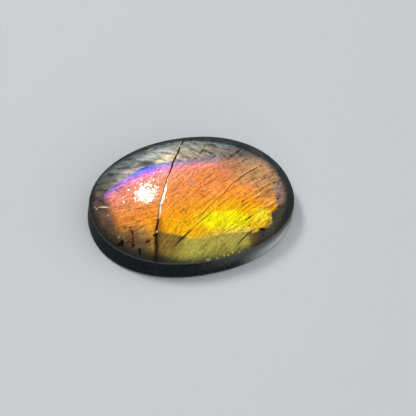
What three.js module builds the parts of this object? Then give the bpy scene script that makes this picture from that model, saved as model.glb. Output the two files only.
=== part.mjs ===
// An oval labradorite cabochon: one polished stone with a high dome, a short side wall and a flat back.
// Millimetres, +Z up. The origin is the middle of the flat back, and +X runs along the stone's length.

import * as THREE from "three";
import { mergeVertices } from "three/addons/utils/BufferGeometryUtils.js";

// Driving dimensions
const LENGTH = 30; // of the outline at the back
const WIDTH = 22; // of the outline at the back
const HEIGHT = 10; // from the back to the top of the dome
const WALL_HEIGHT = 3.25; // from the back to the ridge where the dome begins
const WALL_LEAN = 0.2; // how far the wall has come in where it meets the ridge
const BACK_BEVEL = 0.35; // the small polished bevel round the back
const RIDGE_ROUNDING = 0.4; // how far the worn ridge is rounded, up and down from its edge

// The hand-cut outline: a little squarer than an ellipse, and a little narrower at its +X end.
const SQUARENESS = 2.15; // 2 is a true ellipse
const NARROWING = -0.02; // share of the width gained at +X and lost at -X

// The dome's section, from the top to the ridge
const DOME_FULLNESS = 2.14; // 2 is a circle's arc, and more is flatter on top
const DOME_SHARE = 0.93; // how much of that arc is used before the ridge cuts it off

// Fineness of the facets
const SIDES = 112;
const DOME_RINGS = 22;
const ROUNDING_RINGS = 4;

const HALF_LENGTH = LENGTH / 2;
const HALF_WIDTH = WIDTH / 2;

// One oval ring of the stone: its half length, half width and height.
const ring = (halfLength, halfWidth, z) => ({ halfLength, halfWidth, z });

// A ring of the back outline brought in evenly by some distance.
const ringInside = (inset, z) => ring(HALF_LENGTH - inset, HALF_WIDTH - inset, z);

// A ring of the dome at a share of the ridge's outline, from 0 at the top to 1 at the ridge.
function domeRing(share) {
  const arc = (t) => Math.sqrt(1 - t ** DOME_FULLNESS);
  const atRidge = arc(DOME_SHARE);
  const rise = (arc(share * DOME_SHARE) - atRidge) / (1 - atRidge);
  return ring(
    share * (HALF_LENGTH - WALL_LEAN),
    share * (HALF_WIDTH - WALL_LEAN),
    WALL_HEIGHT + (HEIGHT - WALL_HEIGHT) * rise,
  );
}

const mixRings = (a, b, t) =>
  ring(
    THREE.MathUtils.lerp(a.halfLength, b.halfLength, t),
    THREE.MathUtils.lerp(a.halfWidth, b.halfWidth, t),
    THREE.MathUtils.lerp(a.z, b.z, t),
  );

// The rounded ridge: a curve from the wall to the dome, with the sharp edge as its control point.
function ridgeRings(wallEnd, domeStart) {
  const edge = ringInside(WALL_LEAN, WALL_HEIGHT);
  return Array.from({ length: ROUNDING_RINGS - 1 }, (_, i) => {
    const t = (i + 1) / ROUNDING_RINGS;
    return mixRings(mixRings(wallEnd, edge, t), mixRings(edge, domeStart, t), t);
  });
}

// All the rings, from the middle of the back, up the wall and over the dome to its top.
function stoneRings() {
  const leanAt = (z) => (WALL_LEAN * z) / WALL_HEIGHT;
  const wallTop = WALL_HEIGHT - RIDGE_ROUNDING;
  const wallEnd = ringInside(leanAt(wallTop), wallTop);
  const domeStart = domeRing(1 - RIDGE_ROUNDING / HALF_LENGTH);
  const firstShare = Math.asin(1 - RIDGE_ROUNDING / HALF_LENGTH);
  const dome = Array.from({ length: DOME_RINGS }, (_, i) =>
    domeRing(Math.sin(firstShare * (1 - (i + 1) / DOME_RINGS))),
  );
  return [
    ring(0, 0, 0),
    ringInside(BACK_BEVEL, 0),
    ringInside(0, BACK_BEVEL),
    wallEnd,
    ...ridgeRings(wallEnd, domeStart),
    domeStart,
    ...dome,
  ];
}

// The point of a ring's outline in the direction of a point on the unit circle.
function outlinePoint({ halfLength, halfWidth, z }, cos, sin) {
  const bend = (c) => Math.sign(c) * Math.abs(c) ** (2 / SQUARENESS);
  const x = bend(cos);
  const y = bend(sin) * (1 + NARROWING * x);
  return new THREE.Vector3(halfLength * x, halfWidth * y, z);
}

// A lathe of the rings gives the closed surface, and each round ring is then drawn out to its oval.
function stoneGeometry() {
  const rings = stoneRings();
  const profile = rings.map(({ halfLength, z }) => new THREE.Vector2(halfLength, z));
  const geometry = new THREE.LatheGeometry(profile, SIDES);
  const place = geometry.attributes.position;
  for (let i = 0; i < place.count; i++) {
    const here = rings[i % rings.length];
    const turn = (2 * Math.PI * Math.floor(i / rings.length)) / SIDES;
    const point = outlinePoint(here, Math.sin(turn), -Math.cos(turn));
    place.setXYZ(i, point.x, point.y, point.z);
  }
  geometry.deleteAttribute("normal");
  geometry.deleteAttribute("uv");
  const closed = mergeVertices(geometry, 1e-4);
  closed.computeVertexNormals();
  return closed;
}

const polishedLabradorite = new THREE.MeshStandardMaterial({
  color: new THREE.Color(0.55, 0.3, 0.12),
  roughness: 0.08,
  metalness: 0,
});

const cabochon = new THREE.Mesh(stoneGeometry(), polishedLabradorite);
cabochon.name = "cabochon";

const stone = new THREE.Group();
stone.add(cabochon);

export default stone;
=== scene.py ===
import math

import bmesh
import bpy
import numpy as np
from mathutils import Matrix, Vector


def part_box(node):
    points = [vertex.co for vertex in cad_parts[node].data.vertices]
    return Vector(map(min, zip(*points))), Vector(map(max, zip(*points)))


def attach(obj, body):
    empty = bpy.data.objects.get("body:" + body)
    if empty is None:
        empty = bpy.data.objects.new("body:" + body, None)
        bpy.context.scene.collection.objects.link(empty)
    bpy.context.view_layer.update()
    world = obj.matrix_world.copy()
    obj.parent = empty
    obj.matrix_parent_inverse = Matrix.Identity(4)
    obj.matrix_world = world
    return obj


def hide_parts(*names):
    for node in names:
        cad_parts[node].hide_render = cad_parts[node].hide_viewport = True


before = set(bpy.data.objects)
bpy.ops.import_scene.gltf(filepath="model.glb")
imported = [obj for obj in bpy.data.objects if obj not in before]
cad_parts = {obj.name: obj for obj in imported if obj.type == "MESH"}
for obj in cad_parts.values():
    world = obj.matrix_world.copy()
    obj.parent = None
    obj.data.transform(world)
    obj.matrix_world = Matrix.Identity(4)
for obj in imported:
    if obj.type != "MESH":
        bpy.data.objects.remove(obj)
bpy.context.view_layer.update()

# The looks of a polished labradorite cabochon. Lengths are in millimetres, and MM turns them into metres.
# Places on the dome are given as seen from straight above: x along the stone, y across it.
MM = 0.001

# The stone's own sizes, from its part's box, and the values that shape its section
LOW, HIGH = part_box("cabochon")
HALF_LENGTH = (HIGH.x - LOW.x) / 2 / MM
HALF_WIDTH = (HIGH.y - LOW.y) / 2 / MM
HEIGHT = (HIGH.z - LOW.z) / MM
WALL_HEIGHT = 0.325 * HEIGHT  # from the back to the ridge where the dome begins
WALL_LEAN = 0.2  # how far the wall has come in where it meets the ridge
BACK_BEVEL = 0.35
RIDGE_ROUNDING = 0.4  # how far the ridge is rounded, up and down from its edge
SQUARENESS = 2.15  # of the outline: 2 is a true ellipse
NARROWING = -0.02  # share of the width gained at the right end and lost at the left
DOME_FULLNESS = 2.14  # 2 is a circle's arc, and more is flatter on top
DOME_SHARE = 0.93  # how much of that arc is used before the ridge cuts it off

# Fineness of the visible mesh
SIDES = 400
DOME_RINGS = 96
WALL_RINGS = 10
BACK_RINGS = 9
ROUNDING_RINGS = 6

# The camera, as it stands over the stone in the photograph: pixels, degrees and millimetres
PHOTO_SIZE = 416
FOCAL_PIXELS = 899.6
CAMERA_AZIMUTH = -25.12
CAMERA_ELEVATION = 51.49
CAMERA_ROLL = 9.88
CAMERA_DISTANCE = 130.0
CAMERA_ASIDE = 2.377
CAMERA_UP = 0.669
NEAREST_SEEN = 5.0

# The place on the dome where the polish mirrors the lamps to the camera
HIGHLIGHT = (-7.8, -1.8)

# The main crack crosses the dome from the far edge to the near one. Its x is this cubic of y, constant first.
CRACK = (-4.137, 0.6146, 0.00822, -0.00131)
CRACK_SLANT = 0.86  # the distance across the crack for each millimetre along x

# Stretches of the main crack. Each has two ends, as the y where it begins and the y where it is full.
# The first is where the slanting facet has a painted white glint
GLINT_STRETCH = ((1.2, 0.2), (-5.6, -4.9))
STAINED_STRETCH = ((-5.2, -6.4), (-9.2, -7.6))
PALE_STRETCH = ((2.5, 4.0), (7.2, 6.0))
CORE_FAR_END = (7.6, 6.2)

# Where the main crack's dark core is wider: where that begins, where it is full, and by how much
CRACK_WIDENINGS = [
    (-4.6, -6.0, 0.07),
    (-7.0, -8.6, 0.12),
    (-0.5, 1.0, 0.06),
]

# Thin cracks and lamella edges: start, end, half width, darkness
THIN_CRACKS = [
    ((9.8, 0.25), (3.4, -3.45), 0.1, 0.85),
    ((9.75, 0.25), (9.1, -0.15), 0.16, 0.9),
    ((4.6, -2.6), (1.2, -5.3), 0.1, 0.75),
    ((1.9, -4.6), (-2.4, -7.15), 0.1, 0.6),
    ((1.2, -5.9), (-3.6, -8.1), 0.1, 0.55),
    ((-2.4, -7.65), (-6.0, -9.0), 0.15, 0.9),
    ((1.4, -4.55), (-1.6, -5.75), 0.07, 0.5),
    ((11.6, -0.6), (10.0, -1.95), 0.08, 0.7),
    ((10.6, -1.55), (5.8, -3.95), 0.07, 0.4),
    ((6.6, -3.55), (1.1, -5.85), 0.07, 0.45),
    ((12.6, -1.4), (9.0, -3.5), 0.09, 0.6),
    ((9.6, -3.1), (5.0, -5.4), 0.08, 0.5),
    ((5.8, -4.9), (3.9, -6.3), 0.07, 0.4),
    ((10.3, -3.3), (7.4, -5.0), 0.07, 0.4),
    ((8.4, -5.4), (5.6, -5.8), 0.07, 0.3),
    ((10.6, -5.2), (6.6, -6.95), 0.08, 0.5),
    ((7.6, -6.6), (3.2, -8.2), 0.07, 0.4),
    ((4.6, -7.9), (-0.8, -9.4), 0.07, 0.4),
    ((0.2, -9.2), (-3.2, -10.0), 0.06, 0.35),
    ((6.6, -8.35), (4.6, -9.1), 0.1, 0.7),
    ((5.4, -8.75), (2.6, -10.1), 0.09, 0.9),
    ((7.8, 3.6), (5.8, 1.8), 0.16, 0.85),
    ((6.3, 2.3), (4.2, 0.7), 0.14, 0.75),
    ((4.25, 2.1), (4.5, 0.9), 0.16, 0.6),
    ((3.3, 1.9), (2.2, 1.4), 0.12, 0.8),
    ((2.6, 1.55), (0.8, 1.05), 0.1, 0.4),
    ((1.85, 3.6), (0.8, 2.25), 0.16, 0.75),
    ((2.7, 5.0), (1.9, 3.6), 0.15, 0.55),
    ((1.2, 2.6), (-0.9, 1.1), 0.12, 0.5),
    ((-0.25, -2.2), (-0.7, -3.3), 0.08, 0.55),
    ((-0.6, -3.1), (-1.9, -4.2), 0.08, 0.45),
    ((2.4, -0.4), (1.6, -1.4), 0.1, 0.4),
    ((1.8, -1.3), (-0.2, -2.2), 0.09, 0.4),
    ((3.7, -1.0), (0.3, -3.1), 0.07, 0.45),
    ((-2.9, -3.05), (-5.2, -3.6), 0.08, 0.45),
    ((-2.5, -4.3), (-4.0, -7.3), 0.09, 0.3),
    ((7.5, -0.65), (5.6, -1.6), 0.07, 0.5),
    ((13.0, -1.1), (11.4, -2.0), 0.1, 0.4),
    ((-4.1, -4.9), (-5.2, -5.3), 0.06, 0.4),
    ((-1.3, 0.1), (-2.1, -1.2), 0.08, 0.3),
    ((8.9, -5.9), (8.2, -6.4), 0.08, 0.6),
    ((9.0, -6.6), (8.2, -7.1), 0.08, 0.7),
    ((8.2, -6.5), (7.5, -7.2), 0.07, 0.6),
    ((8.8, -7.6), (7.8, -7.8), 0.08, 0.55),
    ((7.2, -7.4), (6.4, -7.9), 0.07, 0.6),
    ((6.6, -6.6), (5.8, -7.1), 0.07, 0.5),
    ((9.5, -4.6), (8.6, -5.1), 0.08, 0.5),
    ((8.2, -3.3), (7.3, -3.9), 0.07, 0.45),
    ((10.5, -1.5), (9.6, -2.3), 0.08, 0.5),
    ((0.9, -7.1), (-0.3, -7.6), 0.06, 0.3),
]

# Dark inclusions: place, half length, half width, turn in degrees, darkness
INCLUSIONS = [
    ((-12.15, -5.92), 0.5, 0.16, -20, 1.0),
    ((-11.95, -5.95), 0.24, 0.3, 0, 1.0),
    ((-10.68, -6.9), 0.2, 0.15, 0, 1.0),
    ((-10.72, -6.55), 0.2, 0.1, 0, 0.9),
    ((-10.62, -6.3), 0.22, 0.09, 10, 0.9),
    ((-10.5, -5.68), 0.14, 0.16, 0, 0.85),
    ((-10.68, -5.35), 0.26, 0.08, -35, 0.7),
    ((-10.52, -6.0), 0.34, 0.09, 80, 0.85),
    ((-11.2, -6.3), 0.22, 0.1, 15, 0.8),
    ((-9.98, -7.75), 0.15, 0.28, 0, 1.0),
    ((-8.82, -7.35), 0.28, 0.12, -5, 0.85),
    ((-7.9, -7.1), 0.18, 0.16, 0, 1.0),
    ((7.1, -8.5), 0.6, 0.12, 4, 1.0),
    ((7.25, -8.98), 0.12, 0.08, 0, 0.8),
    ((1.12, -9.82), 0.13, 0.08, 0, 0.7),
    ((5.15, -8.3), 0.16, 0.14, 0, 0.6),
    ((3.4, -8.72), 0.18, 0.1, 0, 0.35),
    ((4.6, -7.25), 0.16, 0.08, 20, 0.3),
    ((1.62, -7.6), 0.16, 0.14, 0, 0.25),
    ((1.7, 3.3), 0.16, 0.24, -30, 0.9),
    ((2.15, 4.0), 0.12, 0.2, -20, 0.5),
    ((10.7, -2.5), 0.26, 0.16, 35, 0.7),
    ((11.35, -2.5), 0.2, 0.16, 35, 0.8),
    ((10.55, -4.75), 0.26, 0.14, 30, 0.8),
    ((7.1, -4.4), 0.1, 0.08, 0, 0.5),
    ((10.4, -5.75), 0.25, 0.1, 25, 0.7),
]

# Screen values that the photograph shows, as red, green and blue
DARK_BODY = [(30, 36, 38), (66, 72, 72)]
RIM_COLOUR = (40, 43, 42)
WALL_COLOUR = (25, 28, 29)
WALL_FLECKS = (60, 65, 67)
# The wall's sheen and its pale right end are painted reflections
WALL_SHEEN = (84, 86, 84)
WALL_REFLECTION_UPPER = (104, 107, 106)
WALL_REFLECTION_LOWER = (228, 230, 228)
# The ridge's pale line is a painted reflection
RIDGE_REFLECTION_COLOUR = (92, 102, 100)
CRACK_DARK = (48, 26, 12)
CRACK_STAIN = (96, 58, 22)
# A painted glint on the main crack's slanting facet
CRACK_GLINT_WHITE = (250, 248, 240)
CRACK_PALE = (196, 190, 150)
INCLUSION_COLOUR = (26, 18, 18)
# The scratch's white is a painted glint
SCRATCH_GLINT_COLOUR = (250, 238, 230)

# The flash's colour at each place across the stone, from yellow at its near edge to blue at its far one
SPECTRUM = [
    (-9.0, (240, 190, 52)),
    (-8.0, (250, 184, 16)),
    (-7.0, (247, 166, 22)),
    (-6.0, (247, 160, 32)),
    (-5.0, (246, 154, 48)),
    (-4.0, (240, 143, 58)),
    (-3.0, (240, 146, 74)),
    (-2.0, (240, 146, 86)),
    (-0.9, (248, 152, 104)),
    (-0.1, (250, 150, 132)),
    (0.4, (250, 154, 156)),
    (0.8, (249, 150, 184)),
    (1.12, (232, 142, 238)),
    (1.38, (190, 146, 246)),
    (1.7, (178, 160, 226)),
]

# Edges of the flash, with the flash on their left: start, end, softness.
# The main crack divides left from right.
LEFT_EDGES = [
    ((-11.4, 2.4), (-13.0, 1.3), 0.8),
    ((-12.4, 3.0), (-12.4, -2.0), 1.4),
    ((-12.9, -2.0), (-11.6, -5.6), 2.2),
    ((-11.2, -6.8), (-8.0, -8.5), 1.4),
]
RIGHT_EDGES = [
    ((-7.6, -6.8), (-3.2, -8.75), 0.35),
    ((-4.0, -8.88), (5.6, -8.88), 0.14),
    ((4.8, -9.0), (9.2, -6.55), 0.3),
    ((8.8, -6.8), (10.6, -5.75), 0.5),
    ((10.3, -6.0), (12.2, -4.2), 0.9),
    ((12.1, -4.0), (12.3, -1.5), 1.2),
    ((12.4, -1.8), (9.9, 2.4), 2.0),
]
LOBE_EDGES = [
    ((5.0, -9.05), (7.4, -8.5), 0.25),
    ((7.2, -8.5), (8.9, -7.7), 0.6),
    ((8.85, -8.2), (8.95, -6.4), 0.3),
    ((10.0, -6.3), (3.0, -6.3), 0.4),
    ((5.4, -5.0), (5.4, -9.5), 0.4),
]

# Soft oval patches: middle, half sizes, turn in degrees, softness, strength, colour seen in the photograph
BODY_AND_REFLECTION_PATCHES = [
    ((-3.8, 3.9), (8.0, 2.1), -5, 0.6, 0.95, (132, 140, 138)),
    ((-3.2, 4.4), (3.4, 1.3), 3, 0.6, 0.9, (200, 206, 196)),
    ((-3.3, 2.95), (1.6, 0.75), 2, 0.5, 1.0, (250, 234, 190)),
    ((-3.0, 6.3), (2.2, 0.8), 0, 0.6, 0.6, (144, 154, 154)),
    ((-9.6, 2.6), (2.7, 0.9), 8, 0.5, 0.9, (196, 188, 182)),
    ((-11.8, 2.6), (1.6, 0.9), 10, 0.5, 0.8, (130, 126, 114)),
    ((-6.6, 3.2), (1.4, 0.5), -5, 0.5, 0.75, (96, 94, 92)),
    ((0.4, 3.5), (4.0, 1.6), -6, 0.6, 0.85, (178, 170, 142)),
    ((-1.2, 2.2), (1.4, 0.5), -4, 0.6, 0.9, (192, 166, 152)),
    ((0.2, 5.0), (2.8, 1.2), -8, 0.6, 0.8, (164, 168, 158)),
    ((4.2, 2.9), (3.2, 1.3), -12, 0.6, 0.85, (140, 134, 118)),
    ((7.6, 1.9), (3.6, 1.0), -14, 0.6, 0.8, (118, 108, 98)),
    # A painted reflection of bluish light, under the painted glints there
    ((5.2, 4.15), (1.5, 0.5), -22, 0.6, 0.6, (116, 140, 158)),
    ((-8.6, 4.4), (1.6, 0.8), 10, 0.7, 0.6, (150, 152, 146)),
    ((-10.9, 3.5), (1.4, 0.9), 20, 0.6, 0.7, (108, 112, 104)),
    ((-13.1, -0.8), (1.5, 3.4), 0, 0.6, 0.95, (114, 92, 72)),
    ((-12.9, 1.45), (1.2, 0.3), 15, 0.6, 0.6, (112, 90, 124)),
    ((-12.2, -5.2), (2.2, 1.8), -40, 0.6, 0.85, (84, 76, 52)),
    ((-9.2, -7.9), (3.0, 1.0), -30, 0.5, 0.85, (98, 88, 56)),
    ((-0.7, -9.5), (5.9, 1.25), 0, 0.18, 1.0, (188, 176, 82)),
    ((-6.4, -8.2), (2.0, 1.2), -30, 0.45, 0.9, (150, 120, 54)),
    ((-0.6, -10.4), (6.0, 0.35), 2, 0.7, 0.8, (160, 154, 76)),
    ((5.7, -9.1), (0.9, 0.7), 0, 0.6, 0.8, (112, 90, 44)),
    ((12.3, -3.6), (1.0, 2.2), -15, 0.6, 0.5, (72, 66, 62)),
    ((10.2, -7.2), (3.2, 1.6), 38, 0.5, 0.9, (80, 76, 60)),
    ((8.3, -8.8), (1.5, 0.7), 20, 0.5, 0.7, (84, 74, 72)),
]
FLASH_PATCHES = [
    ((-4.9, 1.95), (1.6, 0.5), -4, 0.7, 0.8, (172, 164, 240)),
    ((-9.1, 1.95), (1.0, 0.35), 8, 0.7, 0.7, (202, 168, 240)),
    ((-7.0, 2.12), (1.8, 0.5), 2, 0.75, 1.0, (100, 124, 242)),
    ((-11.4, 1.7), (1.5, 0.5), 12, 0.6, 0.7, (146, 124, 178)),
    ((-2.1, 1.5), (1.8, 0.5), -3, 0.5, 0.9, (198, 166, 206)),
    ((-6.9, 1.55), (1.5, 0.4), 0, 0.6, 0.8, (160, 112, 230)),
    ((1.8, 1.3), (4.4, 0.75), -3, 0.5, 0.85, (160, 134, 134)),
    ((6.6, 1.2), (3.4, 1.4), -9, 0.6, 0.9, (150, 127, 110)),
    ((10.0, -0.4), (4.2, 3.2), 25, 0.5, 0.9, (172, 142, 108)),
    ((7.4, -1.4), (3.2, 1.5), 20, 0.6, 0.7, (204, 152, 98)),
    ((0.6, -2.2), (3.4, 2.0), 10, 0.6, 0.6, (228, 134, 70)),
    ((-10.6, -0.9), (1.6, 1.0), 0, 0.7, 0.6, (248, 148, 126)),
    ((4.6, -0.2), (2.0, 1.3), 10, 0.5, 0.85, (188, 128, 92)),
    ((9.2, -4.0), (2.2, 1.4), 30, 0.6, 0.7, (208, 148, 88)),
    ((11.4, -4.1), (1.1, 2.3), -15, 0.35, 0.95, (150, 122, 112)),
    ((-10.5, -6.5), (3.2, 1.4), -28, 0.6, 0.85, (170, 134, 82)),
    ((-10.6, -7.2), (3.0, 1.1), -30, 0.6, 0.9, (92, 80, 54)),
    ((2.6, -7.25), (7.0, 1.35), -1, 0.4, 0.9, (250, 186, 6)),
    ((2.0, -7.55), (3.6, 0.95), -5, 0.35, 1.0, (250, 232, 4)),
    ((7.2, -7.2), (1.7, 0.8), 18, 0.5, 0.85, (244, 216, 44)),
    ((8.3, -8.0), (0.9, 0.4), 25, 0.5, 0.8, (176, 148, 62)),
    ((3.0, -8.62), (3.4, 0.3), 0, 0.5, 0.85, (246, 214, 76)),
]

# Small coloured spots, and small painted glints among them: place, half length, half width, turn in degrees,
# strength, colour
SPOTS_AND_GLINTS = [
    ((-10.6, -6.1), 0.75, 0.95, 0, 0.6, (112, 62, 44)),
    ((-8.82, -7.35), 0.6, 0.3, -5, 0.6, (116, 60, 44)),
    ((-9.5, -4.9), 0.4, 0.16, 10, 0.5, (150, 84, 56)),
    ((-9.9, -5.2), 0.3, 0.14, -20, 0.5, (150, 84, 56)),
    ((-9.2, -5.6), 0.26, 0.16, 30, 0.5, (150, 84, 56)),
    ((-7.55, -6.85), 0.13, 0.1, 0, 0.9, (232, 214, 206)),
    ((-7.0, -5.45), 0.16, 0.08, 60, 0.8, (216, 178, 150)),
    ((-1.6, -1.95), 0.32, 0.22, 0, 0.75, (148, 142, 168)),
    ((-1.3, -2.4), 0.2, 0.14, 0, 0.6, (140, 120, 120)),
    ((10.55, -3.35), 0.34, 0.4, 30, 0.6, (142, 144, 156)),
    ((10.5, -4.65), 0.34, 0.2, 30, 0.6, (128, 132, 142)),
    ((10.0, -0.3), 0.36, 0.14, -40, 0.6, (232, 186, 104)),
    ((9.55, 0.75), 0.14, 0.4, -30, 0.7, (214, 184, 128)),
    # The next three are painted glints, a reflection of bluish light on the far slope
    ((4.5, 4.4), 0.5, 0.1, -22, 0.6, (176, 200, 214)),
    ((5.6, 4.0), 0.3, 0.1, -20, 0.8, (206, 220, 228)),
    ((4.0, 4.85), 0.2, 0.1, -25, 0.6, (170, 196, 214)),
    # The next three are painted glints on the silvery far part
    ((-5.0, 6.3), 0.5, 0.12, 0, 0.9, (226, 230, 224)),
    ((-1.0, 5.2), 0.2, 0.2, 0, 0.8, (222, 226, 212)),
    ((-0.4, 4.3), 0.2, 0.14, 0, 0.7, (214, 212, 186)),
    ((0.3, 3.3), 0.24, 0.14, 20, 0.7, (206, 190, 140)),
    ((-12.9, -1.9), 0.16, 0.12, 0, 0.7, (206, 190, 176)),
    ((-12.2, -5.2), 0.14, 0.12, 0, 0.7, (170, 160, 148)),
    ((-1.2, -10.66), 0.3, 0.04, 0, 0.8, (216, 206, 116)),
    ((0.1, -10.66), 0.16, 0.04, 0, 0.8, (226, 218, 130)),
    ((1.1, -10.58), 0.12, 0.07, 0, 0.8, (230, 222, 120)),
    ((1.7, -10.58), 0.2, 0.04, 3, 0.8, (222, 214, 112)),
    ((2.3, -10.44), 0.09, 0.09, 0, 0.8, (236, 228, 126)),
    ((3.3, -10.42), 0.2, 0.04, 6, 0.7, (206, 194, 104)),
    ((-3.4, -10.5), 0.12, 0.05, 0, 0.6, (176, 166, 96)),
    ((8.3, -6.75), 0.22, 0.09, 30, 0.8, (255, 238, 110)),
    ((7.5, -7.0), 0.2, 0.08, 30, 0.7, (255, 236, 96)),
    ((8.6, -7.35), 0.2, 0.08, 25, 0.7, (252, 226, 96)),
    ((6.7, -7.3), 0.24, 0.08, 32, 0.7, (255, 240, 100)),
    ((9.0, -5.6), 0.22, 0.08, 30, 0.6, (252, 206, 116)),
]

# Painted highlights, pale lines on the edges beside the long thin cracks: middle, half length, turn in
# degrees, colour
CRACK_EDGE_HIGHLIGHTS = [
    ((6.45, -1.38), 3.5, 30, (228, 180, 128)),
    ((2.74, -3.76), 2.0, 38, (255, 182, 92)),
    ((-0.38, -5.7), 2.3, 31, (255, 192, 72)),
    ((-1.3, -6.8), 2.4, 25, (255, 200, 70)),
    ((10.7, -2.26), 1.9, 30, (218, 172, 120)),
    ((7.2, -4.06), 2.3, 27, (250, 184, 98)),
    ((8.5, -5.9), 1.9, 24, (255, 208, 102)),
]

# The scratch at the left end and two nicks beside it, painted white as the glint that they catch: start, end,
# half width, strength
SCRATCH_GLINTS = [
    ((-13.8, 0.3), (-12.4, -1.1), 0.1, 1.0),
    ((-14.1, 0.3), (-13.8, 0.1), 0.1, 0.8),
    ((-14.2, 0.8), (-14.0, 0.6), 0.08, 0.6),
]

# Where along the stone the flash bulges to the far side, how long the bulge is, and what it adds as a share
BULGE_MIDDLE = -6.8
BULGE_LENGTH = 2.9
BULGE = 0.44

# Lamella lines: their spacing and their half width
FINE_LAMELLAE = (0.44, 0.075)
COARSE_LAMELLAE = (1.1, 0.1)

# Shares of the ridge's outline where the dark rim begins and where it is full
RIM_BEGINS = 0.93
RIM_FULL = 0.985

# The relief carved into the mesh. The main crack is a hair crack, with one slanting facet where it is wide.
CRACK_ENDS = (-10.4, 8.0)
CRACK_DEPTH = 0.02
CRACK_LEFT_WIDTH = 0.07
CRACK_RIGHT_WIDTH = 0.1
FACET_ENDS = (-6.0, 0.2)
FACET_WIDTH = 0.3
FACET_SLOPE = 0.146
CUT_DEPTH = 0.02  # of the darkest thin crack
CHIP_DEPTH = 0.03
WAVE_DEPTH = 0.004
FINE_MESH_REACH = 0.12  # how far round a crack or chip the mesh is finer
RELIEF_END = 0.985  # share of the ridge's outline where the relief has faded out
RELIEF_FADE = 0.015

# Tiny chips near the ridge: place and radius
CHIPS = [
    ((-0.6, -10.25), 0.16),
    ((0.5, -10.3), 0.12),
    ((1.5, -10.2), 0.18),
    ((2.3, -10.25), 0.12),
    ((3.4, -10.1), 0.16),
    ((4.1, -10.0), 0.12),
    ((-2.2, -10.2), 0.12),
    ((5.3, -9.8), 0.14),
    ((-5.4, -9.9), 0.14),
    ((9.6, -7.7), 0.16),
]

# The relief of the polish, which only turns the light: heights in millimetres, and the range of slopes
POLISH_GRAIN = 0.036
LAMELLA_RELIEF = 0.05
FACET_TILT = 0.46
FACETS_PER_MM = 4.2
FLAT_SHARE = 0.7  # share of the facets that stay flat

# Optics of the stone under its clear polish
STONE_IOR = 1.56
BODY_SPECULAR = 0.02
BODY_ROUGHNESS = 0.42
COAT_ROUGHNESS = 0.015

# How bright this scene shows a white surface, and how much light the polish adds to it
LIGHT_LEVEL = 1.4
REFLECTED = 0.006
DARKEST = 0.0005  # no colour of the stone is darker

# The lamps: strength, distance in metres, and the two angles that an oval lamp fills, in degrees
KEY_STRENGTH = 2.1
KEY_DISTANCE = 1.2
KEY_ANGLES = (12, 20)
GLINT_STRENGTH = 5.0
GLINT_DISTANCE = 1.0
GLINT_ANGLES = (9, 16.5)
FILL_STRENGTH = 3.3
FILL_DIRECTION = (0.25, -0.4, 0.85)
FILL_ANGLE = 120

# The room as the polish mirrors it, the backdrop as the camera sees it, and the floor
ROOM = (0.07, 0.07, 0.07, 1)
BACKDROP = (0.65, 0.65, 0.65, 1)
FLOOR_COLOUR = (0.37, 0.386, 0.386, 1)
FLOOR_ROUGHNESS = 0.9
FLOOR_REACH = 2.0  # in metres, from the middle to each side


STONE_MATERIAL = bpy.data.materials.new("labradorite")
STONE_MATERIAL.use_nodes = True
TREE = STONE_MATERIAL.node_tree


class Signal:
    """A value that varies over the stone, so that the patterns further down read as formulas."""

    def __init__(self, socket):
        self.socket = socket

    def __add__(self, other):
        return compute("ADD", self, other)

    def __radd__(self, other):
        return compute("ADD", other, self)

    def __sub__(self, other):
        return compute("SUBTRACT", self, other)

    def __rsub__(self, other):
        return compute("SUBTRACT", other, self)

    def __mul__(self, other):
        return compute("MULTIPLY", self, other)

    def __rmul__(self, other):
        return compute("MULTIPLY", other, self)

    def __truediv__(self, other):
        return compute("DIVIDE", self, other)

    def __pow__(self, other):
        return compute("POWER", self, other)

    def __abs__(self):
        return compute("ABSOLUTE", self)


def feed(socket, value):
    """Gives a socket its value, which is a signal or a plain number, colour or place."""
    if isinstance(value, Signal):
        TREE.links.new(value.socket, socket)
    else:
        socket.default_value = value


def add_node(kind, inputs, output=0, **settings):
    """Adds a node to the stone's material and returns one of its outputs as a signal."""
    node = TREE.nodes.new(kind)
    for name, value in settings.items():
        setattr(node, name, value)
    for name, value in inputs.items():
        feed(node.inputs[name], value)
    return Signal(node.outputs[output])


def compute(operation, *values):
    return add_node("ShaderNodeMath", dict(enumerate(values)), operation=operation)


def sine(value):
    return compute("SINE", value)


def largest(first, second):
    return compute("MAXIMUM", first, second)


def mix_numbers(first, second, share):
    return first + share * (second - first)


def smooth(value, start, end, top=1.0):
    """0 at the start and top at the end, with a soft change between them."""
    limits = {"Value": value, "From Min": start, "From Max": end, "To Min": 0.0, "To Max": top}
    return add_node("ShaderNodeMapRange", limits, interpolation_type="SMOOTHSTEP")


def vector(x, y, z):
    return add_node("ShaderNodeCombineXYZ", {"X": x, "Y": y, "Z": z})


def split(place):
    node = TREE.nodes.new("ShaderNodeSeparateXYZ")
    feed(node.inputs["Vector"], place)
    return [Signal(output) for output in node.outputs]


def beyond(place, start, end, softness):
    """1 to the left of the line from start to end, seen from above, and 0 to its right."""
    across = Vector((start[1] - end[1], end[0] - start[0], 0)).normalized()
    offset = across.x * start[0] + across.y * start[1]
    distance = add_node("ShaderNodeVectorMath", {0: place, 1: across}, "Value", operation="DOT_PRODUCT")
    return smooth(distance, offset - softness / 2, offset + softness / 2)


def oval(place, centre, half_sizes, turn, outer, inner, top=1.0):
    """An oval spot on the plan, from 0 at outer times its half sizes to top at inner times them."""
    through_the_stone = 1000
    inputs = {
        "Vector": place,
        "Location": (centre[0], centre[1], 0),
        "Rotation": (0, 0, math.radians(turn)),
        "Scale": (half_sizes[0] * outer, half_sizes[1] * outer, through_the_stone),
    }
    inside = add_node("ShaderNodeMapping", inputs, vector_type="TEXTURE")
    from_edge = add_node("ShaderNodeTexGradient", {"Vector": inside}, "Fac", gradient_type="SPHERICAL")
    return smooth(from_edge, 0.0, 1 - inner / outer, top)


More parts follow.
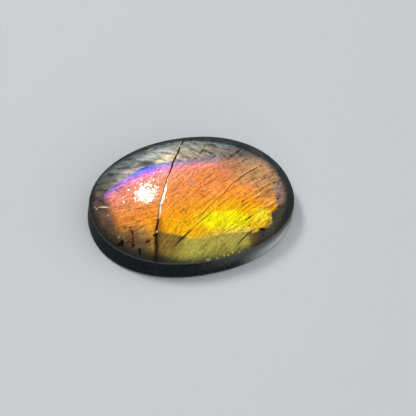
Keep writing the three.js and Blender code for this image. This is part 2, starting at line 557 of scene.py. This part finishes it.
def noise(place, scale, detail, roughness):
    """Cloudy noise round 0, from about -0.5 to 0.5."""
    inputs = {"Vector": place, "Scale": scale, "Detail": detail, "Roughness": roughness}
    return add_node("ShaderNodeTexNoise", inputs, "Fac") - 0.5


def linear(value):
    """A screen value from 0 to 255 as an amount of light from 0 to 1."""
    share = value / 255
    return share / 12.92 if value <= 10 else ((share + 0.055) / 1.055) ** 2.4


def seen(red, green, blue):
    """The stone's own colour where the photograph shows these screen values, under this scene's light."""
    own = (max(linear(value) - REFLECTED, DARKEST) / LIGHT_LEVEL for value in (red, green, blue))
    return (*own, 1.0)


def mix(below, above, share, how="MIX"):
    """Lays one colour over another by a share, or combines them in the way that is named."""
    inputs = {"Factor": share, "A": below, "B": above}
    node = TREE.nodes.new("ShaderNodeMix")
    node.data_type = "RGBA"
    node.blend_type = how
    for socket in node.inputs:
        is_share = socket.name == "Factor" and socket.type == "VALUE"
        if is_share or socket.type == "RGBA":
            feed(socket, inputs[socket.name])
    return Signal(next(socket for socket in node.outputs if socket.type == "RGBA"))


def ramp(value, stops):
    """A colour for each value, from stops of a value and a colour in rising order."""
    low, high = stops[0][0], stops[-1][0]
    node = TREE.nodes.new("ShaderNodeValToRGB")
    feed(node.inputs["Fac"], (value - low) / (high - low))
    elements = node.color_ramp.elements
    while len(elements) < len(stops):
        elements.new(0.5)
    # A stop that moves can change places with another, so the colours are set when all have moved
    for element, (at, _) in zip(elements, stops):
        element.position = (at - low) / (high - low)
    for element, (_, colour) in zip(elements, stops):
        element.color = colour
    return Signal(node.outputs["Color"])


def brighten(colour, factor):
    """Multiplies a colour by a number."""
    grey = add_node("ShaderNodeCombineColor", {"Red": factor, "Green": factor, "Blue": factor})
    return mix(colour, grey, 1.0, "MULTIPLY")


def crack_line(y, sine_of):
    """Where the main crack runs: x for each y. It works on arrays and on signals alike."""
    a, b, c, d = CRACK
    waver = 0.05 * sine_of(y * 2.1 + 0.4) + 0.03 * sine_of(y * 5.3 + 1.7)
    return ((y * d + c) * y + b) * y + a + waver


def stone_place():
    """The place on the stone in millimetres."""
    coordinates = add_node("ShaderNodeTexCoord", {}, "Object")
    return add_node("ShaderNodeVectorMath", {0: coordinates, "Scale": 1 / MM}, operation="SCALE")


def wavered(place, scale, size):
    """The place, moved about by noise so that drawn edges look grown."""
    elsewhere = (31.0, 17.0, 5.0)
    second_place = add_node("ShaderNodeVectorMath", {0: place, 1: elsewhere}, operation="ADD")
    shift_x = noise(place, scale, 3.0, 0.6) * (2 * size)
    shift_y = noise(second_place, scale, 3.0, 0.6) * (2 * size)
    return add_node("ShaderNodeVectorMath", {0: place, 1: vector(shift_x, shift_y, 0.0)}, operation="ADD")


def paint_patches(colour, place, patches):
    for centre, half_sizes, turn, softness, strength, above in patches:
        share = oval(place, centre, half_sizes, turn, 1.0 + softness, 1.0 - softness, strength)
        colour = mix(colour, seen(*above), share)
    return colour


def lines(place, strokes):
    """How strong the drawn lines are. Each is a long oval that fades to its sides and its ends."""
    total = None
    for start, end, half_width, strength in strokes:
        middle = ((start[0] + end[0]) / 2, (start[1] + end[1]) / 2)
        along = (end[0] - start[0], end[1] - start[1])
        turn = math.degrees(math.atan2(along[1], along[0]))
        stroke = oval(place, middle, (math.hypot(*along) / 2, half_width), turn, 1.15, 0.35, strength)
        total = stroke if total is None else largest(total, stroke)
    return total


def area_inside(place, edges):
    """1 where a place is to the left of every edge."""
    area = 1.0
    for start, end, softness in edges:
        area = beyond(place, start, end, softness) * area
    return area


def along_stretch(mask, y, ends):
    """The mask along a stretch of the main crack. Each end is where it begins and where it is full."""
    for begins, full in ends:
        mask = mask * smooth(y, begins, full)
    return mask


def across_lamellae(x, y, crack_side):
    """The place across the lamellae, which lie flatter, and bent, left of the main crack."""
    left = 0.27 * x + 0.025 * x * x
    right = 0.52 * x
    return y - mix_numbers(left, right, smooth(crack_side, -0.05, 0.05))


def lamella_lines(x, across, spacing, half_width):
    """Thin broken lines along the lamellae, as 1 on a line and 0 beside it."""
    waver = noise(vector(x * 0.22, across * 0.5, 0.0), 1.0, 2.0, 0.5)
    from_line = compute("PINGPONG", across / spacing + 5.0 * waver, 0.5) * spacing
    breaks = noise(vector(x * 0.3, across / spacing, 4.0), 1.0, 2.0, 0.5)
    return smooth(from_line, half_width, half_width * 0.2) * smooth(breaks, -0.02, 0.14)


def stone_grain(place, x, across, z):
    """The stone's fine patterns: two along its lamellae, and two without a direction."""
    return {
        "streaks": noise(vector(x * 0.35, across * 2.6, z * 0.5), 1.0, 4.0, 0.62),
        "threads": noise(vector(x * 0.5, across * 5.5, 0.0), 1.0, 2.0, 0.6),
        "mottle": noise(place, 2.6, 5.0, 0.8),
        "cloud": noise(place, 0.8, 3.0, 0.6),
    }


def dark_hatching(x, across, rightward):
    """Lines along the lamellae: fine ones, stronger to the right, and a few coarser ones."""
    fine = lamella_lines(x, across, *FINE_LAMELLAE) * (0.45 + 0.55 * rightward)
    coarse = lamella_lines(x + 9.0, across + 0.3, *COARSE_LAMELLAE) * 0.8
    return largest(fine, coarse)


def paint_body(place, x, y, grain):
    """The dark body and the silvery far side, with a painted bluish reflection among its patches, and with
    wisps that show more towards the far edge.
    """
    shade = smooth(0.6 * grain["mottle"] + 1.3 * grain["cloud"], -0.3, 0.3)
    body = mix(seen(*DARK_BODY[0]), seen(*DARK_BODY[1]), shade)
    body = paint_patches(body, place, BODY_AND_REFLECTION_PATCHES)
    wisps = noise(vector((x - y) * 0.35, (x + y) * 1.1, 0.0), 1.0, 3.0, 0.5)
    farther = smooth(y, -6.0, 2.5)
    factor = 1.0 + 2.0 * grain["mottle"] + (1.5 - farther) * grain["threads"]
    factor = factor + (0.6 * grain["mottle"] + 3.4 * wisps + 0.9 * grain["cloud"]) * farther
    return brighten(body, factor)


def flash_place(x, y):
    """The place across the flash: y, drawn together where the flash bulges to the far side."""
    stretch = 1.0 + BULGE * compute("EXPONENT", -1.0 * ((x - BULGE_MIDDLE) / BULGE_LENGTH) ** 2.0)
    return compute("MAXIMUM", y, 0.0) / stretch + compute("MINIMUM", y, 0.0)


def paint_flash(place, up, crack_side, rightward, hatching, grain):
    """The colours in their order across the flash, its patches, and the lamellae over them."""
    hue_place = up + 0.9 * grain["streaks"] + 0.3 * grain["mottle"] + 0.5 * grain["cloud"]
    hue_place = hue_place - 0.25 * smooth(crack_side, -0.2, 0.2)
    flash = ramp(hue_place, [(at, seen(*colour)) for at, colour in SPECTRUM])
    flash = paint_patches(flash, place, FLASH_PATCHES)
    factor = 1.06 + 1.6 * grain["streaks"] + 2.6 * grain["mottle"]
    factor = factor + (1.5 + 1.1 * rightward) * grain["threads"]
    return brighten(flash, factor - 0.6 * hatching)


def flash_area(soft_place, firm_place, x, up, crack_side, streaks):
    """1 where the flash shows: inside its edges, which are firmer right of the main crack."""
    left = area_inside(soft_place, LEFT_EDGES)
    right = largest(area_inside(firm_place, RIGHT_EDGES), area_inside(firm_place, LOBE_EDGES))
    side = smooth(crack_side, -0.05, 0.05)
    fading = smooth(x, 2.0, 7.0)
    far_edge = smooth(up + 0.5 * streaks, 1.9 + 0.3 * fading, 1.6 - 1.0 * fading)
    return mix_numbers(left, right, side) * far_edge


def stone_colour(place, x, y, z):
    """The body with the flash over it. The distance from the main crack and the grain come with it."""
    soft_place = wavered(wavered(place, 0.5, 0.28), 2.4, 0.1)
    firm_place = wavered(place, 2.4, 0.06)
    soft_x, soft_y, _ = split(soft_place)
    crack_side = x - crack_line(y, sine)
    across = across_lamellae(soft_x, soft_y, crack_side)
    grain = stone_grain(place, soft_x, across, z)
    rightward = smooth(soft_x, 1.0, 8.0)
    hatching = dark_hatching(soft_x, across, rightward)
    body = paint_body(soft_place, soft_x, soft_y, grain)
    up = flash_place(soft_x, soft_y)
    flash = paint_flash(soft_place, up, crack_side, rightward, hatching, grain)
    area = flash_area(soft_place, firm_place, soft_x, up, crack_side, grain["streaks"])
    return mix(body, flash, area), crack_side, grain


# How far towards the right end, where the wall has its painted sheen and painted reflection
def towards_reflecting_end(x, y):
    return x - 0.35 * y


def wall_colour(flecks, x, y, z):
    """Dark with fine flecks, then a painted sheen, and a painted reflection that makes it pale at the right
    end, most of all low down.
    """
    wall = mix(seen(*WALL_COLOUR), seen(*WALL_FLECKS), smooth(flecks, -0.1, 0.35))
    # Painted sheen on the upper wall towards the right
    sheen = smooth(towards_reflecting_end(x, y), 0.5, 7.0) * smooth(z, 0.9, 2.8)
    wall = mix(wall, seen(*WALL_SHEEN), sheen)
    # Painted reflection: pale at the right end, most of all low down
    pale = smooth(towards_reflecting_end(x, y), 6.5, 14.5) * smooth(y, -2.2, -6.4)
    lower = smooth(z, 0.95 * WALL_HEIGHT, 0.3 * WALL_HEIGHT)
    return mix(wall, mix(seen(*WALL_REFLECTION_UPPER), seen(*WALL_REFLECTION_LOWER), lower), pale)


def paint_rims(colour, place, x, y, z):
    """Darker towards the ridge, a painted reflection as a pale line along it, and the wall and the back below
    it.
    """
    along = (abs(x) / (HALF_LENGTH - WALL_LEAN)) ** SQUARENESS
    across = (abs(y) / (HALF_WIDTH - WALL_LEAN)) ** SQUARENESS
    share = (along + across) ** (1 / SQUARENESS)
    flecks = noise(place, 3.0, 3.0, 0.7)
    wider = smooth(x, 9.0, 13.5, 0.055) - smooth(y, -7.0, -9.6, 0.02) * smooth(x, -7.0, -3.0)
    rim = smooth(share + 0.06 * flecks + wider, RIM_BEGINS, RIM_FULL, 0.85)
    colour = mix(colour, seen(*RIM_COLOUR), rim)
    wall = wall_colour(flecks, x, y, z)
    colour = mix(colour, wall, smooth(z, WALL_HEIGHT + 0.05, WALL_HEIGHT - 0.15))
    # Painted reflection: a pale line along the rounded ridge, fading out at the right end
    ridge_reflection = smooth(abs(z - WALL_HEIGHT), 0.16, 0.03, 0.6) * (1.0 - smooth(x, 11.0, 14.0, 0.7))
    return mix(colour, seen(*RIDGE_REFLECTION_COLOUR), ridge_reflection)


def paint_thin_cracks(colour, place):
    wander = wavered(place, 1.1, 0.07)
    # Painted highlights beside the long thin cracks, then the dark cracks themselves
    for centre, half_length, turn, above in CRACK_EDGE_HIGHLIGHTS:
        edge = oval(wander, centre, (half_length, 0.09), turn, 1.3, 0.4, 0.6)
        colour = mix(colour, seen(*above), edge)
    return mix(colour, seen(*CRACK_DARK), lines(wander, THIN_CRACKS))


def crack_core(off, crumble, y, z):
    """The dark middle of the main crack, on the dome only and fainter at its near end."""
    on_dome = smooth(z, WALL_HEIGHT - 0.1, WALL_HEIGHT + 0.2)
    width = 0.08 + 0.12 * crumble
    for begins, full, more in CRACK_WIDENINGS:
        width = width + smooth(y, begins, full, more)
    core = smooth(abs(off) / width, 1.3, 0.5) * smooth(y, *CORE_FAR_END) * on_dome
    return core * (1.0 - smooth(y, -7.2, -8.2, 0.12))


def paint_main_crack(colour, place, y, z, crack_side):
    """A brown stain, the dark core, a painted white glint on the facet right of it, and a pale edge left of
    its far part.
    """
    off = crack_side * CRACK_SLANT
    crumble = noise(place, 4.5, 3.0, 0.7)
    core = crack_core(off, crumble, y, z)
    stain = along_stretch(smooth(off, 1.1, 0.1) * smooth(off, -0.5, 0.0), y, STAINED_STRETCH)
    colour = mix(colour, seen(*CRACK_STAIN), stain * (0.75 + crumble))
    colour = mix(colour, seen(*CRACK_DARK), core)
    # Painted highlight: white where the slanting facet mirrors the lamp, as its carved slope also does
    white = smooth(off, -0.02, 0.05) * smooth(off + 0.2 * crumble, 0.24, 0.16)
    white = along_stretch(white, y, GLINT_STRETCH)
    white = white * smooth(crumble + smooth(y, -0.4, -2.8, 0.16), 0.02, 0.1)
    colour = mix(colour, seen(*CRACK_GLINT_WHITE), white)
    pale = along_stretch(smooth(abs(off + 0.2), 0.12, 0.03), y, PALE_STRETCH) * 0.7
    return mix(colour, seen(*CRACK_PALE), pale)


def paint_marks(colour, place):
    """Small coloured spots and painted glints, the dark inclusions and the scratch's painted glint."""
    ragged = wavered(place, 5.0, 0.15)
    # Spots of colour, and painted glints among them
    for centre, half_length, half_width, turn, strength, above in SPOTS_AND_GLINTS:
        spot = oval(ragged, centre, (half_length, half_width), turn, 1.5, 0.5, strength)
        colour = mix(colour, seen(*above), spot)
    dark = 0.0
    for centre, half_length, half_width, turn, darkness in INCLUSIONS:
        dark = largest(oval(ragged, centre, (half_length, half_width), turn, 1.25, 0.75, darkness), dark)
    colour = mix(colour, seen(*INCLUSION_COLOUR), dark)
    # The scratch and nicks are painted white as a glint
    return mix(colour, seen(*SCRATCH_GLINT_COLOUR), lines(ragged, SCRATCH_GLINTS))


def bump(height):
    """A surface direction from a height in millimetres."""
    return add_node("ShaderNodeBump", {"Strength": 1.0, "Distance": MM, "Height": height}, "Normal")


def polish_relief(place):
    """The polish is uneven: fine waves make a highlight ragged, and small tilted facets sparkle round it."""
    waves = noise(place, 3.2, 2.0, 0.5)
    cells = {"Vector": place, "Scale": FACETS_PER_MM, "Randomness": 1.0}
    kind = "ShaderNodeTexVoronoi"
    distance = add_node(kind, cells, "Distance", voronoi_dimensions="2D")
    middle = add_node(kind, cells, "Position", voronoi_dimensions="2D")
    cell_colour = add_node(kind, cells, "Color", voronoi_dimensions="2D")
    parts = {"Color": cell_colour}
    red, green, blue = (add_node("ShaderNodeSeparateColor", parts, name) for name in ("Red", "Green", "Blue"))
    tilt = vector((red - 0.5) * FACET_TILT, (green - 0.5) * FACET_TILT, 0.0)
    from_middle = add_node("ShaderNodeVectorMath", {0: place, 1: middle}, operation="SUBTRACT")
    rise = add_node("ShaderNodeVectorMath", {0: from_middle, 1: tilt}, "Value", operation="DOT_PRODUCT")
    facets = rise * smooth(distance, 0.55, 0.35) * smooth(blue, FLAT_SHARE, FLAT_SHARE + 0.02)
    return waves * POLISH_GRAIN + facets


def make_labradorite():
    shader = TREE.nodes["Principled BSDF"]
    place = stone_place()
    x, y, z = split(place)
    colour, crack_side, grain = stone_colour(place, x, y, z)
    colour = paint_rims(colour, place, x, y, z)
    colour = paint_thin_cracks(colour, place)
    colour = paint_main_crack(colour, place, y, z, crack_side)
    colour = paint_marks(colour, place)
    feed(shader.inputs["Base Color"], colour)
    feed(shader.inputs["Roughness"], BODY_ROUGHNESS + 0.25 * grain["mottle"])
    shader.inputs["IOR"].default_value = STONE_IOR
    shader.inputs["Specular IOR Level"].default_value = BODY_SPECULAR
    shader.inputs["Coat Weight"].default_value = 1.0
    shader.inputs["Coat Roughness"].default_value = COAT_ROUGHNESS
    shader.inputs["Coat IOR"].default_value = STONE_IOR
    polish = polish_relief(place)
    feed(shader.inputs["Coat Normal"], bump(polish))
    feed(shader.inputs["Normal"], bump(polish + grain["streaks"] * LAMELLA_RELIEF))


def arc(t):
    """The dome's section as a share of its full height, for t from 0 at the top to 1 at the rim."""
    return np.sqrt(np.clip(1 - t**DOME_FULLNESS, 0, None))


def dome_height(share):
    """Height above the back at a share of the ridge's outline."""
    at_ridge = arc(np.float64(DOME_SHARE))
    rise = (arc(share * DOME_SHARE) - at_ridge) / (1 - at_ridge)
    return WALL_HEIGHT + (HEIGHT - WALL_HEIGHT) * rise


def dome_share(x, y):
    """The share of the ridge's outline on which a place lies, seen from above."""
    along = np.abs(x) / (HALF_LENGTH - WALL_LEAN)
    across = np.abs(y) / (HALF_WIDTH - WALL_LEAN)
    share = (along**SQUARENESS + across**SQUARENESS) ** (1 / SQUARENESS)
    # The narrowing depends on the share itself, so a few rounds bring the two together
    for _ in range(6):
        narrowed = 1 + NARROWING * np.sign(x) * along / np.maximum(share, 1e-9)
        share = (along**SQUARENESS + (across / narrowed) ** SQUARENESS) ** (1 / SQUARENESS)
    return share


def height_above(x, y):
    return float(dome_height(dome_share(np.float64(x), np.float64(y))))


def dome_point(x, y):
    """The place on the dome above (x, y), and the direction straight out of the surface there."""
    step = 0.01
    slope_x = (height_above(x + step, y) - height_above(x - step, y)) / (2 * step)
    slope_y = (height_above(x, y + step) - height_above(x, y - step)) / (2 * step)
    return Vector((x, y, height_above(x, y))), Vector((-slope_x, -slope_y, 1)).normalized()


def ring_inside(inset, z):
    """The back's outline, brought in evenly by some distance: half length, half width and height."""
    return HALF_LENGTH - inset, HALF_WIDTH - inset, z


def dome_ring(share):
    half_length, half_width, _ = ring_inside(WALL_LEAN, WALL_HEIGHT)
    return half_length * share, half_width * share, float(dome_height(np.float64(share)))


def ridge_ring(wall_end, edge, dome_start, t):
    """A ring of the rounded ridge, on a curve from the wall to the dome that the sharp edge pulls out."""
    first, second, third = (1 - t) ** 2, 2 * t * (1 - t), t * t
    return tuple(first * a + second * b + third * c for a, b, c in zip(wall_end, edge, dome_start))


def stone_rings():
    """Half length, half width and height of every ring, from the middle of the back to the dome's top."""
    back_length, back_width, _ = ring_inside(BACK_BEVEL, 0.0)
    back_shares = np.linspace(0, 1, BACK_RINGS + 1)[1:]
    rings = [(share * back_length, share * back_width, 0.0) for share in back_shares]
    for z in np.linspace(BACK_BEVEL, WALL_HEIGHT - RIDGE_ROUNDING, WALL_RINGS):
        rings.append(ring_inside(WALL_LEAN * z / WALL_HEIGHT, z))
    wall_end = rings[-1]
    edge = ring_inside(WALL_LEAN, WALL_HEIGHT)
    start_share = 1 - RIDGE_ROUNDING / HALF_LENGTH
    for t in np.linspace(0, 1, ROUNDING_RINGS + 2)[1:-1]:
        rings.append(ridge_ring(wall_end, edge, dome_ring(start_share), t))
    for share in start_share * np.linspace(1, 0, DOME_RINGS, endpoint=False):
        rings.append(dome_ring(share))
    return rings


def between(value, ends, fade):
    """1 between two ends and 0 beyond them, with a fade inside each."""
    return np.clip((value - ends[0]) / fade, 0, 1) * np.clip((ends[1] - value) / fade, 0, 1)


def groove(x, y, start, end, half_width, depth):
    """The depth of a soft groove that runs from start to end and fades out at both."""
    ahead = np.array([end[0] - start[0], end[1] - start[1]])
    length = np.hypot(*ahead)
    ahead = ahead / length
    middle_x, middle_y = (start[0] + end[0]) / 2, (start[1] + end[1]) / 2
    along = ((x - middle_x) * ahead[0] + (y - middle_y) * ahead[1]) / (length / 2)
    aside = ((y - middle_y) * ahead[0] - (x - middle_x) * ahead[1]) / half_width
    return depth * np.clip(1 - along**2, 0, 1) * np.clip(1 - np.abs(aside), 0, 1)


def crack_depth(x, y):
    """The main crack: steep on its left, and on its right one slanting cleavage face where it is wide."""
    off = (x - crack_line(y, np.sin)) * CRACK_SLANT
    wide = between(y, FACET_ENDS, 0.8)
    right = CRACK_RIGHT_WIDTH + (FACET_WIDTH - CRACK_RIGHT_WIDTH) * wide
    depth = CRACK_DEPTH + (FACET_WIDTH * FACET_SLOPE - CRACK_DEPTH) * wide
    section = np.where(off > 0, 1 - off / right, 1 + off / CRACK_LEFT_WIDTH)
    return depth * np.clip(section, 0, 1) * between(y, CRACK_ENDS, 0.5)


def relief(x, y):
    """How deep the surface lies below the smooth dome, in millimetres."""
    depth = crack_depth(x, y)
    for start, end, half_width, darkness in THIN_CRACKS:
        depth = np.maximum(depth, groove(x, y, start, end, 0.8 * half_width + 0.04, CUT_DEPTH * darkness))
    for centre, radius in CHIPS:
        distance = np.hypot(x - centre[0], y - centre[1]) / radius
        depth = np.maximum(depth, CHIP_DEPTH * np.clip(1 - distance**2, 0, 1))
    waves = np.sin(0.9 * x + 0.5 * np.sin(0.7 * y)) + np.sin(1.1 * y + 0.6 * np.sin(0.8 * x + 1.3))
    return depth + WAVE_DEPTH * (1 + waves / 2)


def refine(bm):
    """Cuts the faces near a crack or chip into smaller ones, so that it keeps its shape."""
    faces = list(bm.faces)
    centres = np.array([face.calc_center_median() for face in faces]) / MM
    x, y, z = centres.T
    near = np.zeros(len(faces), bool)
    for right, up in ((0, 0), (1, 0), (-1, 0), (0, 1), (0, -1)):
        deeper = relief(x + right * FINE_MESH_REACH, y + up * FINE_MESH_REACH) > 2 * WAVE_DEPTH
        near |= deeper
    near &= z > WALL_HEIGHT + RIDGE_ROUNDING
    edges = {edge for face, is_near in zip(faces, near) if is_near for edge in face.edges}
    bmesh.ops.subdivide_edges(bm, edges=list(edges), cuts=2, use_grid_fill=True)


def carve(bm):
    """Puts every point of the dome at its own height, less the relief, which fades out before the ridge."""
    places = np.array([vertex.co for vertex in bm.verts]) / MM
    x, y, z = places.T
    share = dome_share(x, y)
    dome = (z > WALL_HEIGHT + 0.02) & (share < 1 - RIDGE_ROUNDING / HALF_LENGTH + 1e-4)
    fade = np.clip((RELIEF_END - share) / RELIEF_FADE, 0, 1)
    height = dome_height(share) - relief(x, y) * fade
    for vertex, on_dome, level in zip(bm.verts, dome, height):
        if on_dome:
            vertex.co.z = level * MM


def bend(c):
    """A cosine or sine as a coordinate of the squarer outline."""
    return np.sign(c) * np.abs(c) ** (2 / SQUARENESS)


def outline():
    """The outline's points, as shares of its half length and half width."""
    turns = np.linspace(0, 2 * math.pi, SIDES, endpoint=False)
    out_x = bend(np.cos(turns))
    out_y = bend(np.sin(turns)) * (1 + NARROWING * out_x)
    return list(zip(out_x, out_y))


def add_rows(bm):
    """A row of points for each ring of the stone."""
    rows = []
    for half_length, half_width, z in stone_rings():
        places = [(half_length * x * MM, half_width * y * MM, z * MM) for x, y in outline()]
        rows.append([bm.verts.new(place) for place in places])
    return rows


def add_faces(bm, rows):
    """Closes the rows from the middle of the back to the top of the dome."""
    back = bm.verts.new((0, 0, 0))
    top = bm.verts.new((0, 0, HEIGHT * MM))
    for i in range(SIDES):
        j = (i + 1) % SIDES
        bm.faces.new((back, rows[0][j], rows[0][i]))
        bm.faces.new((top, rows[-1][i], rows[-1][j]))
        for low, high in zip(rows, rows[1:]):
            bm.faces.new((low[i], low[j], high[j], high[i]))


def stone_mesh():
    bm = bmesh.new()
    add_faces(bm, add_rows(bm))
    refine(bm)
    carve(bm)
    for face in bm.faces:
        face.smooth = True
    mesh = bpy.data.meshes.new("labradorite_cabochon")
    bm.to_mesh(mesh)
    bm.free()
    return mesh


def camera_axes():
    """The camera's directions: right, up and backwards."""
    azimuth, elevation, roll = (math.radians(a) for a in (CAMERA_AZIMUTH, CAMERA_ELEVATION, CAMERA_ROLL))
    aside = math.cos(elevation)
    back = Vector((math.sin(azimuth) * aside, -math.cos(azimuth) * aside, math.sin(elevation)))
    level = Vector((math.cos(azimuth), math.sin(azimuth), 0))
    upright = back.cross(level)
    right = math.cos(roll) * level + math.sin(roll) * upright
    return right, back.cross(right), back


def make_camera():
    right, up, back = camera_axes()
    data = bpy.data.cameras.new("camera")
    data.lens = data.sensor_width * FOCAL_PIXELS / PHOTO_SIZE
    data.clip_start = NEAREST_SEEN * MM
    camera = bpy.data.objects.new("camera", data)
    place = (CAMERA_ASIDE * right + CAMERA_UP * up + CAMERA_DISTANCE * back) * MM
    camera.matrix_world = Matrix.Translation(place) @ Matrix((right, up, back)).transposed().to_4x4()
    bpy.context.scene.collection.objects.link(camera)
    bpy.context.scene.camera = camera
    return camera


def make_lamp(name, camera, angles, strength, distance):
    """An oval lamp, where the polish mirrors it at HIGHLIGHT. Its size is the angles that it fills."""
    place, outward = dome_point(*HIGHLIGHT)
    to_camera = (camera.matrix_world.translation / MM - place).normalized()
    to_light = 2 * outward.dot(to_camera) * outward - to_camera
    across = Vector((0, 1, 0)).cross(to_light).normalized()
    facing = Matrix((across, to_light.cross(across), to_light)).transposed().to_4x4()
    data = bpy.data.lights.new(name, "AREA")
    data.shape = "ELLIPSE"
    data.size, data.size_y = (2 * distance * math.tan(math.radians(angle / 2)) for angle in angles)
    data.energy = strength * math.pi * distance**2
    lamp = bpy.data.objects.new(name, data)
    lamp.matrix_world = Matrix.Translation(place * MM + to_light * distance) @ facing
    bpy.context.scene.collection.objects.link(lamp)
    return lamp


def make_key_light(camera):
    """One lamp lights the stone, and a brighter one in front of it is seen only in the polish."""
    make_lamp("key", camera, KEY_ANGLES, KEY_STRENGTH, KEY_DISTANCE).visible_glossy = False
    make_lamp("glint", camera, GLINT_ANGLES, GLINT_STRENGTH, GLINT_DISTANCE).visible_diffuse = False


def make_fill_light():
    """Soft light from most of the sky, which the polish doesn't mirror."""
    data = bpy.data.lights.new("fill", "SUN")
    data.energy = FILL_STRENGTH
    data.angle = math.radians(FILL_ANGLE)
    light = bpy.data.objects.new("fill", data)
    light.rotation_mode = "QUATERNION"
    light.rotation_quaternion = Vector(FILL_DIRECTION).to_track_quat("Z", "Y")
    light.visible_glossy = False
    bpy.context.scene.collection.objects.link(light)


def make_world():
    """A dim room round the stone, and a pale backdrop that only the camera sees."""
    world = bpy.data.worlds.new("studio")
    bpy.context.scene.world = world
    world.use_nodes = True
    tree = world.node_tree
    background = tree.nodes["Background"]
    background.inputs["Strength"].default_value = 1.0
    path = tree.nodes.new("ShaderNodeLightPath")
    choose = tree.nodes.new("ShaderNodeMix")
    choose.data_type = "RGBA"
    mirrored, looked_at = (socket for socket in choose.inputs if socket.type == "RGBA")
    mirrored.default_value = ROOM
    looked_at.default_value = BACKDROP
    chosen = next(socket for socket in choose.outputs if socket.type == "RGBA")
    tree.links.new(path.outputs["Is Camera Ray"], choose.inputs["Factor"])
    tree.links.new(chosen, background.inputs["Color"])


def make_floor():
    reach = FLOOR_REACH
    corners = [(-reach, -reach, 0), (reach, -reach, 0), (reach, reach, 0), (-reach, reach, 0)]
    mesh = bpy.data.meshes.new("floor")
    mesh.from_pydata(corners, [], [(0, 1, 2, 3)])
    floor = bpy.data.objects.new("floor", mesh)
    bpy.context.scene.collection.objects.link(floor)
    material = bpy.data.materials.new("pale_floor")
    material.use_nodes = True
    shader = material.node_tree.nodes["Principled BSDF"]
    shader.inputs["Base Color"].default_value = FLOOR_COLOUR
    shader.inputs["Roughness"].default_value = FLOOR_ROUGHNESS
    mesh.materials.append(material)
    floor.visible_glossy = False


def make_stone():
    mesh = stone_mesh()
    mesh.materials.append(STONE_MATERIAL)
    stone = bpy.data.objects.new("labradorite_cabochon", mesh)
    bpy.context.scene.collection.objects.link(stone)
    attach(stone, "root")
    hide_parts("cabochon")


make_key_light(make_camera())
make_fill_light()
make_world()
make_floor()
make_labradorite()
make_stone()
bpy.context.scene.view_settings.view_transform = "Standard"
